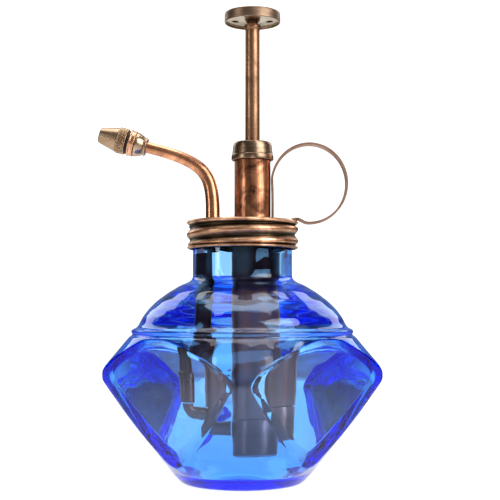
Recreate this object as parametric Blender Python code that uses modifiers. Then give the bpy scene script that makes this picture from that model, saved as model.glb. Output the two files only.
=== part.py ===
"""A hand mister: a faceted glass bottle with a screw-on piston pump, a bent spout and a finger ring.

The origin is the centre of the bottle's underside, +Z is up and the spout points to -X.
All lengths below are in millimetres and are scaled to metres when points are made.
"""

import math

import bmesh
import bpy

MM = 0.001
GAP = 0.3
STEPS = 32

# bottle: (distance of the four corners from the axis, height), from the floor up
BOTTLE_OUTER = [
    (21.2, 0.0), (22.3, 0.5), (26.3, 4.5), (28.4, 7.5), (32.9, 13.4), (37.4, 19.2), (42.0, 25.0),
    (46.9, 31.9), (50.6, 36.2), (51.9, 38.2), (50.7, 40.3), (49.1, 42.3), (45.2, 47.0),
    (41.2, 51.8), (40.7, 52.3), (39.9, 52.8), (39.9, 53.1), (40.4, 53.7), (40.4, 54.3),
    (39.8, 54.9), (38.4, 55.2), (37.4, 56.4), (36.1, 59.2), (34.0, 62.0), (31.0, 65.0),
    (26.8, 68.1), (22.6, 70.7), (19.2, 72.2), (18.1, 73.2), (18.1, 84.6),
]
THREAD_RADIUS = 18.5
THREAD_HEIGHTS = (86.4, 89.4)
NECK_RADIUS = 18.1
NECK_TOP = 91.3
BOTTLE_INNER = [
    (17.5, 6.0), (20.5, 7.2), (23.4, 11.0), (30.6, 20.5), (40.6, 33.0), (42.4, 36.0),
    (42.4, 39.4), (41.0, 42.6), (36.2, 49.0), (34.4, 54.6), (33.2, 58.2), (30.6, 61.6),
    (25.2, 65.6), (20.0, 68.6), (16.4, 70.6), (15.0, 73.0), (15.0, 91.3),
]
FLAT_AT_FLOOR = 30.3
FLAT_SLOPE = 0.207
# the tips of the four corners are rounded off
TIP_RADIUS = 50.7
# radius of the bulge of the corner faces by height; the bottle is round below and above these
CORNER_BULGE = [(4.5, 26.3), (9.0, 50.0), (33.0, 50.0), (40.0, 36.0), (47.0, 35.5), (51.8, 41.2)]
WALL_AT_FLATS = 3.5
CORNER_PARTS = 10
FLAT_PARTS = 4

# screw cap and gasket
CAP_BOTTOM = 83.8
CAP_TOP = 94.2
CAP_RADIUS = 20.3
CAP_VALLEY = 19.2
CAP_SHEET = 0.4
CAP_PLATE = 0.6
CAP_PITCH = 3.45
CAP_STEPS = 40
GASKET_THICKNESS = 1.7
MOUTH_RADIUS = 15.0

# pump
PUMP_X = 3.65
BARREL_RADIUS = 6.6
BARREL_BORE = 5.8
BARREL_BOTTOM = 30.4
BARREL_TOP = 118.6
COLLAR_BOTTOM = 116.4
COLLAR_TOP = 123.2
ROD_RADIUS = 2.65
ROD_BOTTOM = 112.0
ROD_TOP = 166.8
ROD_TENON_TOP = 169.7
STUD_RADIUS = 1.5
STUD_BOTTOM = 104.0
KNOB_RADIUS = 10.3
KNOB_BOTTOM = 167.3
KNOB_TOP = 171.2
KNOB_HOLE_AT = 6.3
KNOB_HOLE_RADIUS = 1.1
SPRING_BOTTOM = 33.6
SPRING_TOP = 106.9
SPRING_RADIUS = 3.9
SPRING_WIRE = 0.4
SPRING_TURNS = 12
SPRING_POINTS = 12

# valves
FOOT_BOTTOM = 16.5
FOOT_SHOULDER = 30.1
FOOT_TOP = 33.2
PORT_HEIGHT = 28.0
INTAKE_BALL_RADIUS = 1.9
INTAKE_BALL_HEIGHT = 20.5
RETAINER_BOTTOM = 24.1
OUTLET_BOTTOM = 31.7
OUTLET_BALL_RADIUS = 1.6
OUTLET_BALL_HEIGHT = 35.0

# riser and spout
RISER_X = -10.9
RISER_RADIUS = 2.5
RISER_BORE = 1.5
RISER_BOTTOM = 39.2
RISER_TOP = 88.0
SPOUT_PATH = [
    (-10.9, 88.3), (-10.9, 96.0), (-11.0, 101.0), (-11.5, 105.6), (-12.7, 109.6),
    (-15.0, 112.9), (-18.6, 115.6), (-22.6, 117.5), (-26.8, 119.0), (-31.4, 120.3),
    (-36.6, 121.67),
]
SPOUT_RADII = [2.55, 2.55, 2.5, 2.45, 2.4, 2.35, 2.25, 2.2, 2.12, 2.05, 2.05]
SPOUT_BORE = 1.3
SPOUT_SIDES = 16

# nozzle, measured along its axis from the back of the ferrule
NOZZLE_X = -35.2
NOZZLE_Z = 121.3
NOZZLE_TILT = math.radians(14.8)

# finger ring
STRIP_WIDTH = 5.0
STRIP_THICKNESS = 0.8
LOOP_X = 24.4
LOOP_Z = 107.9
LOOP_HALF_WIDTH = 13.7
LOOP_HALF_HEIGHT = 14.5
LOOP_PARTS = 32
LEG_X = 11.0


def clear_scene():
    for thing in list(bpy.data.objects):
        bpy.data.objects.remove(thing)


def make_collections():
    """The shown parts go into one collection and the cutters into another."""
    shown = bpy.data.collections.new("hand_mister")
    hidden = bpy.data.collections.new("cutters")
    bpy.context.scene.collection.children.link(shown)
    bpy.context.scene.collection.children.link(hidden)
    return shown, hidden


def material(name, colour, metallic, roughness, transmission=0.0):
    made = bpy.data.materials.new(name)
    made.use_nodes = True
    shader = made.node_tree.nodes["Principled BSDF"]
    shader.inputs["Base Color"].default_value = (*colour, 1.0)
    shader.inputs["Metallic"].default_value = metallic
    shader.inputs["Roughness"].default_value = roughness
    shader.inputs["Transmission Weight"].default_value = transmission
    made.diffuse_color = (*colour, 1.0)
    return made


COLOURS = {
    "glass": ((0.03, 0.10, 0.85), 0.0, 0.03, 1.0),
    "copper": ((0.48, 0.22, 0.10), 1.0, 0.32, 0.0),
    "bronze": ((0.27, 0.16, 0.09), 1.0, 0.35, 0.0),
    "brass": ((0.62, 0.47, 0.22), 1.0, 0.30, 0.0),
    "steel": ((0.55, 0.55, 0.56), 1.0, 0.25, 0.0),
    "rubber": ((0.02, 0.02, 0.02), 0.0, 0.70, 0.0),
    "leather": ((0.20, 0.11, 0.05), 0.0, 0.80, 0.0),
}


def finish(thing, name, kind, collection, x=0.0, z=0.0):
    """Names the object, places it, gives it its own material and files it."""
    thing.name = name
    thing.data.name = name
    thing.location = (x * MM, 0.0, z * MM)
    thing.data.materials.append(material(name + "_" + kind, *COLOURS[kind]))
    collection.objects.link(thing)
    return thing


def as_cutter(thing, collection):
    thing.hide_render = True
    thing.display_type = "WIRE"
    collection.objects.link(thing)
    return thing


def turned(profile, steps=STEPS, closed=True):
    """A solid of revolution. The profile is (radius, height) down the outer side first."""
    mesh = bpy.data.meshes.new("profile")
    points = [(r * MM, 0.0, h * MM) for r, h in profile]
    edges = [(i, i + 1) for i in range(len(points) - 1)]
    if closed:
        edges.append((len(points) - 1, 0))
    mesh.from_pydata(points, edges, [])
    made = bpy.data.objects.new("turned", mesh)
    screw = made.modifiers.new("turn", "SCREW")
    screw.axis = "Z"
    screw.angle = math.tau
    screw.steps = steps
    screw.render_steps = steps
    screw.use_merge_vertices = True
    screw.merge_threshold = 0.00001
    screw.use_smooth_shade = False
    return made


def solid(profile, steps=STEPS):
    """A turned solid whose open ends both lie on the axis."""
    return turned(profile, steps, closed=False)


def ring(outer, inner, low, high, steps=STEPS, chamfer=0.15):
    """A washer or sleeve with its outer edges broken."""
    profile = [
        (outer - chamfer, high), (outer, high - chamfer), (outer, low + chamfer),
        (outer - chamfer, low), (inner, low), (inner, high),
    ]
    return turned(profile, steps)


def hex_nut(corner_radius, bore, low, high):
    """A six-sided nut with a round hole."""
    curve = bpy.data.curves.new("nut", "CURVE")
    curve.dimensions = "2D"
    curve.fill_mode = "BOTH"
    curve.extrude = (high - low) / 2 * MM
    for radius, sides in ((corner_radius, 6), (bore, 24)):
        line = curve.splines.new("POLY")
        line.points.add(sides - 1)
        line.use_cyclic_u = True
        for i in range(sides):
            turn = math.tau * i / sides
            x, y = radius * math.cos(turn) * MM, radius * math.sin(turn) * MM
            line.points[i].co = (x, y, 0.0, 1.0)
    return bpy.data.objects.new("nut", curve)


def mesh_object(name, points, faces):
    mesh = bpy.data.meshes.new(name)
    mesh.from_pydata([tuple(c * MM for c in p) for p in points], [], faces)
    mesh.update()
    return bpy.data.objects.new(name, mesh)


def cylinder(radius, start, end, sides=24):
    """A plain round rod between two points."""
    along = [e - s for s, e in zip(start, end)]
    length = math.sqrt(sum(a * a for a in along))
    forward = [a / length for a in along]
    side = (0.0, 1.0, 0.0) if abs(forward[1]) < 0.9 else (1.0, 0.0, 0.0)
    up = cross(forward, side)
    side = cross(up, forward)
    points = []
    for centre in (start, end):
        for i in range(sides):
            turn = math.tau * i / sides
            u, v = math.cos(turn) * radius, math.sin(turn) * radius
            points.append([c + u * s + v * w for c, s, w in zip(centre, side, up)])
    faces = [tuple(range(sides))[::-1], tuple(range(sides, 2 * sides))]
    for i in range(sides):
        j = (i + 1) % sides
        faces.append((i, j, sides + j, sides + i))
    return outward(mesh_object("cylinder", points, faces))


def cross(a, b):
    return [a[1] * b[2] - a[2] * b[1], a[2] * b[0] - a[0] * b[2], a[0] * b[1] - a[1] * b[0]]


def outward(thing):
    """Turns every face to point away from the inside."""
    work = bmesh.new()
    work.from_mesh(thing.data)
    bmesh.ops.recalc_face_normals(work, faces=work.faces)
    work.to_mesh(thing.data)
    work.free()
    return thing


def cut(thing, cutter, name):
    boolean = thing.modifiers.new(name, "BOOLEAN")
    boolean.operation = "DIFFERENCE"
    boolean.solver = "EXACT"
    boolean.object = cutter
    return thing


def corner_bulge(height, corner):
    """The radius of a corner face at one height."""
    if not CORNER_BULGE[0][0] <= height <= CORNER_BULGE[-1][0]:
        return corner
    for (low, first), (high, last) in zip(CORNER_BULGE, CORNER_BULGE[1:]):
        if height <= high:
            return first + (last - first) * (height - low) / (high - low)
    return corner


def bottle_level(corner, height, wall=0.0):
    """One level of the bottle: four bulging corner faces cut by four flats."""
    flat = FLAT_AT_FLOOR + FLAT_SLOPE * height - wall
    bulge = corner_bulge(height, corner)
    if bulge != corner:
        bulge -= wall
    shift = corner - bulge
    eighth = math.radians(45)
    # where the flats leave the corner face, seen from the axis
    ratio = (flat * math.sqrt(2) - shift) / bulge / math.sqrt(2)
    edge = eighth
    if ratio < 1:
        turn = eighth - math.acos(ratio)
        edge = min(eighth, math.atan2(bulge * math.sin(turn), shift + bulge * math.cos(turn)))
    edge = min(edge, eighth * CORNER_PARTS / (CORNER_PARTS + FLAT_PARTS))

    def distance(turn):
        from_corner = abs(turn) if abs(turn) <= eighth else 2 * eighth - turn
        across = shift * math.sin(from_corner)
        out = shift * math.cos(from_corner) + math.sqrt(bulge * bulge - across * across)
        return min(out, flat / math.cos(eighth - from_corner), TIP_RADIUS - wall)

    turns = [edge * (2 * i / CORNER_PARTS - 1) for i in range(CORNER_PARTS + 1)]
    turns += [edge + 2 * (eighth - edge) * i / FLAT_PARTS for i in range(1, FLAT_PARTS)]
    level = []
    for quarter in range(4):
        for turn in turns:
            at = turn + 2 * eighth * quarter
            level.append((distance(turn) * math.cos(at), distance(turn) * math.sin(at), height))
    return level


def bottle(shown):
    """One skin from the middle of the underside, over the mouth and down to the inner floor."""
    outer = list(BOTTLE_OUTER)
    for height in THREAD_HEIGHTS:
        outer += [
            (NECK_RADIUS, height - 0.7), (THREAD_RADIUS, height - 0.25),
            (THREAD_RADIUS, height + 0.25), (NECK_RADIUS, height + 0.7),
        ]
    outer += [(NECK_RADIUS, NECK_TOP - 0.5), (NECK_RADIUS - 0.5, NECK_TOP)]
    levels = [bottle_level(r, h) for r, h in outer]
    levels += [bottle_level(r, h, WALL_AT_FLATS) for r, h in BOTTLE_INNER[::-1]]
    count = len(levels[0])
    points = [point for level in levels for point in level]
    faces = []
    for low in range(0, count * (len(levels) - 1), count):
        for i in range(count):
            j = (i + 1) % count
            faces.append((low + i, low + j, low + count + j, low + count + i))
    last = count * (len(levels) - 1)
    underside, floor = len(points), len(points) + 1
    points += [(0.0, 0.0, 0.0), (0.0, 0.0, BOTTLE_INNER[0][1])]
    for i in range(count):
        j = (i + 1) % count
        faces.append((underside, j, i))
        faces.append((floor, last + i, last + j))
    made = outward(mesh_object("bottle", points, faces))
    return finish(made, "bottle", "glass", shown)


def cap_wall():
    """The outer line of the rolled cap from the top rim to the bottom bead."""
    points = [(CAP_RADIUS - 0.9, CAP_TOP), (CAP_RADIUS - 0.2, CAP_TOP - 0.3)]
    points += [(CAP_RADIUS, CAP_TOP - 0.9), (CAP_RADIUS - 0.2, CAP_TOP - 1.5)]
    height = CAP_TOP - 2.2
    while height - CAP_PITCH > CAP_BOTTOM - 1.0:
        points.append((CAP_VALLEY, height))
        points.append((CAP_VALLEY + 0.6, height - 0.30 * CAP_PITCH))
        points.append((CAP_RADIUS, height - 0.50 * CAP_PITCH))
        points.append((CAP_VALLEY + 0.6, height - 0.75 * CAP_PITCH))
        height -= CAP_PITCH
    points.append((CAP_RADIUS - 0.3, CAP_BOTTOM + 0.5))
    points.append((CAP_RADIUS - 0.3, CAP_BOTTOM))
    return points


def screw_cap(shown, hidden):
    """A thin shell with ridges, and holes in its top for the barrel and the spout."""
    wall = cap_wall()
    plate = CAP_TOP - CAP_PLATE
    profile = [(0.0, CAP_TOP)] + wall
    inside = [(r - CAP_SHEET, h) for r, h in wall[::-1] if h < plate - 0.2]
    profile += inside + [(inside[-1][0], plate), (0.0, plate)]
    made = solid(profile, steps=CAP_STEPS)
    for name, x, radius in (("barrel", PUMP_X, BARREL_RADIUS), ("spout", RISER_X, 2.55)):
        hole = cylinder(radius + GAP, (x, 0.0, plate - 2.0), (x, 0.0, CAP_TOP + 2.0), 32)
        hole.name = f"cap_{name}_hole"
        as_cutter(hole, hidden)
        cut(made, hole, f"{name}_hole")
    return finish(made, "screw_cap", "copper", shown)


def cap_gasket(shown):
    made = ring(18.0, MOUTH_RADIUS - 0.2, NECK_TOP + GAP, NECK_TOP + GAP + GASKET_THICKNESS)
    return finish(made, "cap_gasket", "rubber", shown)


def barrel_parts(shown):
    """The barrel, its lock nut, collar, bush and seal, all on the pump's axis."""
    barrel = ring(BARREL_RADIUS, BARREL_BORE, BARREL_BOTTOM, BARREL_TOP)
    finish(barrel, "pump_barrel", "copper", shown, PUMP_X)
    nut = hex_nut(9.4, BARREL_RADIUS + GAP, 90.4, 93.2)
    finish(nut, "barrel_lock_nut", "brass", shown, PUMP_X, 91.8)
    collar = turned([
        (6.2, COLLAR_TOP), (6.7, COLLAR_TOP - 0.25), (7.0, COLLAR_TOP - 0.9),
        (7.5, COLLAR_BOTTOM + 2.2), (7.7, COLLAR_BOTTOM + 1.9), (7.7, COLLAR_BOTTOM),
        (BARREL_RADIUS + GAP, COLLAR_BOTTOM), (BARREL_RADIUS + GAP, 119.9), (4.6, 119.9),
        (4.6, 121.6), (ROD_RADIUS + GAP, 121.6), (ROD_RADIUS + GAP, COLLAR_TOP),
    ])
    finish(collar, "barrel_collar", "bronze", shown, PUMP_X)
    bush = turned([
        (6.5, 119.6), (6.5, BARREL_TOP + GAP), (BARREL_BORE - GAP, BARREL_TOP + GAP),
        (BARREL_BORE - GAP, 114.8), (ROD_RADIUS + GAP, 114.8), (ROD_RADIUS + GAP, 119.6),
    ])
    finish(bush, "rod_bush", "brass", shown, PUMP_X)
    seal = ring(4.3, ROD_RADIUS + GAP, 119.9 + 0.2, 121.3)
    finish(seal, "gland_seal", "rubber", shown, PUMP_X)


def plunger(shown, hidden):
    """The rod with its lip and threaded end, the knob and the piston stack."""
    rod = solid([
        (0.0, ROD_TENON_TOP), (1.7, ROD_TENON_TOP), (1.7, ROD_TOP), (2.85, ROD_TOP),
        (3.0, ROD_TOP - 0.4), (2.85, ROD_TOP - 1.8), (ROD_RADIUS, ROD_TOP - 2.1), (ROD_RADIUS, ROD_BOTTOM),
        (STUD_RADIUS, ROD_BOTTOM), (STUD_RADIUS, STUD_BOTTOM + 0.3),
        (STUD_RADIUS - 0.3, STUD_BOTTOM), (0.0, STUD_BOTTOM),
    ], steps=24)
    finish(rod, "pump_rod", "bronze", shown, PUMP_X)
    knob = solid([
        (0.0, KNOB_TOP), (9.6, KNOB_TOP), (10.1, KNOB_TOP - 0.2), (KNOB_RADIUS, KNOB_TOP - 0.7),
        (KNOB_RADIUS, KNOB_BOTTOM + 1.1), (10.1, KNOB_BOTTOM + 0.9), (9.7, KNOB_BOTTOM + 0.8),
        (3.4, KNOB_BOTTOM), (2.0, KNOB_BOTTOM), (2.0, ROD_TENON_TOP + GAP),
        (0.0, ROD_TENON_TOP + GAP),
    ])
    for side in (-1, 1):
        at = side * KNOB_HOLE_AT
        start, end = (at, 0.0, KNOB_BOTTOM - 2.0), (at, 0.0, KNOB_BOTTOM + 2.6)
        hole = cylinder(KNOB_HOLE_RADIUS, start, end, 16)
        hole.name = "knob_hole_left" if side < 0 else "knob_hole_right"
        as_cutter(hole, hidden)
        hole.location = (PUMP_X * MM, 0.0, 0.0)
        cut(knob, hole, hole.name)
    finish(knob, "knob", "bronze", shown, PUMP_X)
    clear = STUD_RADIUS + GAP
    backing = ring(5.3, clear, 110.2, ROD_BOTTOM - GAP, steps=24)
    finish(backing, "piston_backing", "brass", shown, PUMP_X)
    cup = turned([
        (5.3, 109.9), (5.5, 109.7), (5.5, 105.8), (4.7, 105.8), (4.7, 108.9),
        (clear, 108.9), (clear, 109.9),
    ], steps=24)
    finish(cup, "piston_cup", "leather", shown, PUMP_X)
    washer = ring(4.35, clear, 107.6, 108.6, steps=24)
    finish(washer, "piston_washer", "brass", shown, PUMP_X)
    nut = hex_nut(3.1, clear, 105.1, 107.3)
    finish(nut, "piston_nut", "brass", shown, PUMP_X, 106.2)


def return_spring(shown):
    """A round wire coil with closed ends, between the foot valve and the piston."""
    curve = bpy.data.curves.new("return_spring", "CURVE")
    curve.dimensions = "3D"
    curve.bevel_depth = SPRING_WIRE * MM
    curve.bevel_resolution = 1
    curve.use_fill_caps = True
    count = SPRING_TURNS * SPRING_POINTS + 1
    low = SPRING_BOTTOM + SPRING_WIRE
    high = SPRING_TOP - SPRING_WIRE
    line = curve.splines.new("POLY")
    line.points.add(count - 1)
    for i in range(count):
        share = i / (count - 1)
        turn = math.tau * SPRING_TURNS * share
        # the first and last turns lie flatter than the rest
        eased = share - 0.045 * math.sin(math.tau * share)
        point = (
            SPRING_RADIUS * math.cos(turn) * MM, SPRING_RADIUS * math.sin(turn) * MM,
            (low + (high - low) * eased) * MM, 1.0,
        )
        line.points[i].co = point
    made = bpy.data.objects.new("return_spring", curve)
    return finish(made, "return_spring", "steel", shown, PUMP_X)


def valves(shown, hidden):
    """The foot valve with its ball and retainer, and the outlet valve with its ball."""
    foot = turned([
        (5.2, FOOT_TOP), (5.5, FOOT_TOP - 0.3), (5.5, FOOT_SHOULDER),
        (BARREL_RADIUS, FOOT_SHOULDER), (BARREL_RADIUS, FOOT_BOTTOM + 0.6),
        (BARREL_RADIUS - 0.6, FOOT_BOTTOM), (1.3, FOOT_BOTTOM), (1.3, FOOT_BOTTOM + 2.2),
        (2.4, FOOT_BOTTOM + 3.3),
        (2.4, FOOT_TOP),
    ])
    port = cylinder(1.5, (-10.0, 0.0, PORT_HEIGHT), (-0.2, 0.0, PORT_HEIGHT), 20)
    port.name = "foot_port"
    port.location = (PUMP_X * MM, 0.0, 0.0)
    as_cutter(port, hidden)
    cut(foot, port, "port")
    finish(foot, "foot_valve_body", "copper", shown, PUMP_X)
    finish(ball(INTAKE_BALL_RADIUS), "intake_ball", "steel", shown, PUMP_X, INTAKE_BALL_HEIGHT)
    retainer = ring(2.1, 0.6, RETAINER_BOTTOM, RETAINER_BOTTOM + 0.8, steps=24, chamfer=0.1)
    finish(retainer, "ball_retainer", "brass", shown, PUMP_X)
    low = OUTLET_BOTTOM
    outlet = turned([
        (3.0, low + 10.7), (3.2, low + 10.5), (3.2, low + 0.2), (3.0, low), (1.1, low),
        (1.1, low + 1.7), (2.1, low + 2.7), (2.1, low + 7.2), (RISER_RADIUS + GAP, low + 7.2),
        (RISER_RADIUS + GAP, low + 10.7),
    ], steps=24)
    finish(outlet, "outlet_valve_body", "brass", shown, RISER_X)
    finish(ball(OUTLET_BALL_RADIUS), "outlet_ball", "steel", shown, RISER_X, OUTLET_BALL_HEIGHT)


def ball(radius, rings=8):
    """A turned ball, centred on its own origin."""
    profile = [
        (radius * math.sin(math.pi * i / rings), radius * math.cos(math.pi * i / rings))
        for i in range(rings + 1)
    ]
    profile[0] = (0.0, radius)
    profile[-1] = (0.0, -radius)
    return solid(profile, steps=16)


def tube(name, path, radii, bore, sides):
    """A bent tube in the XZ plane with open ends and a bore of one size."""
    count = len(path)
    points = []
    for radius_of in (lambda i: radii[i], lambda i: bore):
        for i, (x, z) in enumerate(path):
            before = path[max(i - 1, 0)]
            after = path[min(i + 1, count - 1)]
            along = math.atan2(after[1] - before[1], after[0] - before[0])
            for k in range(sides):
                turn = math.tau * k / sides
                out = radius_of(i) * math.cos(turn)
                y = radius_of(i) * math.sin(turn)
                points.append((x - out * math.sin(along), y, z + out * math.cos(along)))
    faces = []
    inner = count * sides
    for i in range(count - 1):
        for k in range(sides):
            j = (k + 1) % sides
            a, b = i * sides + k, i * sides + j
            c, d = (i + 1) * sides + j, (i + 1) * sides + k
            faces.append((a, b, c, d))
            faces.append((inner + a, inner + d, inner + c, inner + b))
    for k in range(sides):
        j = (k + 1) % sides
        end = (count - 1) * sides
        faces.append((k, inner + k, inner + j, j))
        faces.append((end + k, end + j, inner + end + j, inner + end + k))
    return outward(mesh_object(name, points, faces))


def smooth_path(path, radii, parts=3):
    """Adds points between the given ones along a smooth curve through them."""
    def between(p0, p1, p2, p3, t):
        return 0.5 * (
            2 * p1 + (p2 - p0) * t + (2 * p0 - 5 * p1 + 4 * p2 - p3) * t * t
            + (3 * p1 - p0 - 3 * p2 + p3) * t ** 3
        )

    rows = [(x, z, r) for (x, z), r in zip(path, radii)]
    made = []
    for i in range(len(rows) - 1):
        four = [rows[max(i - 1, 0)], rows[i], rows[i + 1], rows[min(i + 2, len(rows) - 1)]]
        for step in range(parts):
            t = step / parts
            made.append(tuple(between(*(row[c] for row in four), t) for c in range(3)))
    made.append(rows[-1])
    return [(x, z) for x, z, _ in made], [r for _, _, r in made]


def pipes(shown):
    """The spout above the cap, and the riser, coupling and elbow inside the bottle."""
    path, radii = smooth_path(SPOUT_PATH, SPOUT_RADII)
    finish(tube("spout_tube", path, radii, SPOUT_BORE, SPOUT_SIDES), "spout_tube", "copper", shown)
    riser = ring(RISER_RADIUS, RISER_BORE, RISER_BOTTOM, RISER_TOP, steps=24)
    finish(riser, "riser_tube", "copper", shown, RISER_X)
    coupling = ring(3.5, RISER_RADIUS + GAP + 0.05, 84.6, 91.6, steps=24, chamfer=0.3)
    finish(coupling, "riser_coupling", "brass", shown, RISER_X)
    start = PUMP_X - BARREL_RADIUS - GAP
    bend = 2.9
    corner_x = RISER_X + bend
    elbow = [(start, PORT_HEIGHT), (corner_x + 1.2, PORT_HEIGHT)]
    for i in range(9):
        turn = math.radians(90 * i / 8)
        elbow.append((
            corner_x - bend * math.sin(turn), PORT_HEIGHT + bend - bend * math.cos(turn),
        ))
    elbow.append((RISER_X, OUTLET_BOTTOM - GAP))
    made = tube("transfer_elbow", elbow, [2.4] * len(elbow), RISER_BORE, 16)
    finish(made, "transfer_elbow", "copper", shown)


def nozzle_piece(profile, name, kind, shown, steps=32):
    """Turns a profile of (radius, distance from the ferrule's back) about the nozzle's axis."""
    made = turned(profile, steps)
    made.rotation_euler = (0.0, -math.pi / 2 + NOZZLE_TILT, 0.0)
    finish(made, name, kind, shown)
    made.location = (NOZZLE_X * MM, 0.0, NOZZLE_Z * MM)
    return made


def nozzle(shown):
    """The ferrule with its spigot, the flange, the O-ring, the cap and the core inside it."""
    nozzle_piece([
        (2.5, 12.2), (2.8, 11.9), (2.8, 4.5), (4.35, 4.5), (4.4, 4.1), (4.0, 2.6), (3.2, 1.0),
        (3.2, 0.3), (2.9, 0.0), (2.35, 0.0), (2.35, 3.0), (1.2, 3.0), (1.2, 12.2),
    ], "nozzle_body", "bronze", shown)
    nozzle_piece([
        (4.5, 6.4), (4.75, 6.1), (4.75, 5.05), (4.5, 4.8), (3.1, 4.8), (3.1, 6.4),
    ], "nozzle_flange", "copper", shown)
    nozzle_piece([
        (4.1, 7.65), (4.5, 7.4), (4.5, 6.95), (4.1, 6.7), (3.1, 6.7), (3.1, 7.65),
    ], "nozzle_o_ring", "rubber", shown)
    nozzle_piece([
        (2.5, 17.8), (2.8, 17.5), (4.3, 12.4), (4.3, 12.1), (4.65, 11.9), (4.8, 11.7),
        (4.8, 8.25), (4.5, 7.95), (3.1, 7.95), (3.1, 14.9), (0.45, 16.3), (0.45, 17.8),
    ], "nozzle_cap", "bronze", shown)
    nozzle_piece([
        (2.5, 14.6), (2.8, 14.3), (2.8, 12.8), (2.5, 12.5), (0.5, 12.5), (0.5, 14.6),
    ], "swirl_core", "brass", shown, steps=24)


def strip_line():
    """The middle line of the ring's strip: up the barrel, round the loop and onto the cap."""
    line = [(LEG_X, 94.6), (LEG_X, 98.0), (LEG_X, 102.0), (LEG_X - 0.05, 105.5)]
    first, last = 172, -92
    for i in range(LOOP_PARTS + 1):
        turn = math.radians(first + (last - first) * i / LOOP_PARTS)
        x = LOOP_X + LOOP_HALF_WIDTH * math.cos(turn)
        line.append((x, LOOP_Z + LOOP_HALF_HEIGHT * math.sin(turn)))
    line += [(22.6, 93.7), (21.4, 94.35), (20.3, 94.8), (19.2, 94.95), (18.0, 94.95)]
    return line


def finger_ring(shown):
    """A flat strip bent along its line."""
    line = strip_line()
    half = STRIP_THICKNESS / 2
    side = STRIP_WIDTH / 2
    points = []
    for i, (x, z) in enumerate(line):
        before = line[max(i - 1, 0)]
        after = line[min(i + 1, len(line) - 1)]
        along = math.atan2(after[1] - before[1], after[0] - before[0])
        nx, nz = -math.sin(along) * half, math.cos(along) * half
        points += [
            (x + nx, -side, z + nz), (x + nx, side, z + nz),
            (x - nx, side, z - nz), (x - nx, -side, z - nz),
        ]
    faces = [(0, 1, 2, 3)]
    last = 4 * (len(line) - 1)
    faces.append((last + 3, last + 2, last + 1, last))
    for i in range(len(line) - 1):
        for k in range(4):
            j = (k + 1) % 4
            faces.append((4 * i + k, 4 * i + j, 4 * i + 4 + j, 4 * i + 4 + k))
    made = outward(mesh_object("finger_ring", points, faces))
    return finish(made, "finger_ring", "copper", shown)


def main():
    clear_scene()
    shown, hidden = make_collections()
    bottle(shown)
    cap_gasket(shown)
    screw_cap(shown, hidden)
    barrel_parts(shown)
    plunger(shown, hidden)
    return_spring(shown)
    valves(shown, hidden)
    pipes(shown)
    nozzle(shown)
    finger_ring(shown)


main()
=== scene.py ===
"""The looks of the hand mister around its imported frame: glass, antique copper and bronze.

The frame's origin is the centre of the bottle's underside, +Z is up and the spout points to -X.
Lengths are in millimetres and become metres when a mesh is made, apart from the stage's, which
are in metres.
"""

import math

import bpy
import numpy as np
from mathutils import Matrix, Vector, noise


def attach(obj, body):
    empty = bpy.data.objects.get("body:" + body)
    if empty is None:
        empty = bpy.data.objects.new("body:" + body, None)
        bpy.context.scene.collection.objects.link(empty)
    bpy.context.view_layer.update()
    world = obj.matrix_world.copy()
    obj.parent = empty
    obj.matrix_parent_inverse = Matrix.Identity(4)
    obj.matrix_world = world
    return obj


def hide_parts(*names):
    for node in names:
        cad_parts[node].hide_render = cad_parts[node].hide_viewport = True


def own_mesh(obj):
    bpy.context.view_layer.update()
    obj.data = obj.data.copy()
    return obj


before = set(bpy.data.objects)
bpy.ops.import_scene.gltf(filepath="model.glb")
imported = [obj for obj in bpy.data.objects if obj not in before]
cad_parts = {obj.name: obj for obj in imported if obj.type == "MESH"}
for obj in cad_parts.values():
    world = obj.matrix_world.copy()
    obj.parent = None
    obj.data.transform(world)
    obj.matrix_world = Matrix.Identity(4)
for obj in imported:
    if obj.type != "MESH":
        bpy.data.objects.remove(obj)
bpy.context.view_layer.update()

MM = 0.001
TAU = math.tau

# camera
EYE = (2.74, -390.0, 63.0)
PITCH = 3.02
LENS = 77.0
SENSOR = 36.0

# bottle: (distance of the four corners from the axis, height), from the floor up
CORNER_PARTS, FLAT_PARTS = 56, 40
BOTTLE_LINE = [
    (21.4, 0.0), (22.6, 0.6), (26.3, 4.6), (28.4, 7.5), (32.9, 13.4), (42.0, 25.0),
    (46.9, 31.7), (51.8, 38.2), (49.1, 42.4), (41.2, 51.8), (40.6, 52.4), (39.7, 52.75),
    (39.6, 53.2), (40.3, 53.7), (40.4, 54.3), (39.6, 54.9), (38.3, 55.3), (37.5, 56.4),
    (36.1, 59.2), (34.0, 62.0), (31.0, 65.0), (26.8, 68.1), (22.6, 70.6), (19.3, 72.0),
    (18.1, 73.2), (18.1, 84.6),
]
CAVITY_LINE = [
    (17.0, 6.0), (20.5, 7.4), (30.4, 19.0), (42.6, 34.2), (45.4, 37.2), (45.4, 39.2),
    (43.8, 42.4), (37.6, 49.4), (34.6, 54.2), (33.0, 58.2), (30.4, 61.6), (25.2, 65.5),
    (20.0, 68.5), (16.4, 70.6), (15.1, 73.2), (15.1, 90.8),
]
CAVITY_FLOOR = 5.9
FLAT_FLOOR, FLAT_SLOPE = 30.3, 0.207
WALL_AT_FLATS = 3.4
TIP_RADIUS, TIP_SOFTNESS = 50.65, 0.35
# radius of the bulge of the corner faces by height; the bottle is round below and above these
BULGE_HEIGHTS = [4.5, 9.0, 33.0, 40.0, 47.0, 51.8]
BULGE_RADII = [26.3, 50.0, 50.0, 36.0, 35.5, 41.2]
NECK_RADIUS, NECK_TOP = 18.1, 91.3
THREAD_RIDGE, THREAD_HALF_WIDTH, THREAD_PARTS = 0.4, 0.8, 6
THREAD_HEIGHTS = (86.4, 89.4)
# size of the waves in the glass, and how far they push it
OUTER_WAVES, INNER_WAVES = (14.0, 0.10), (11.0, 0.25)
WATER_TOP = 83.0
WATER_OVERLAP = 0.15

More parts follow.
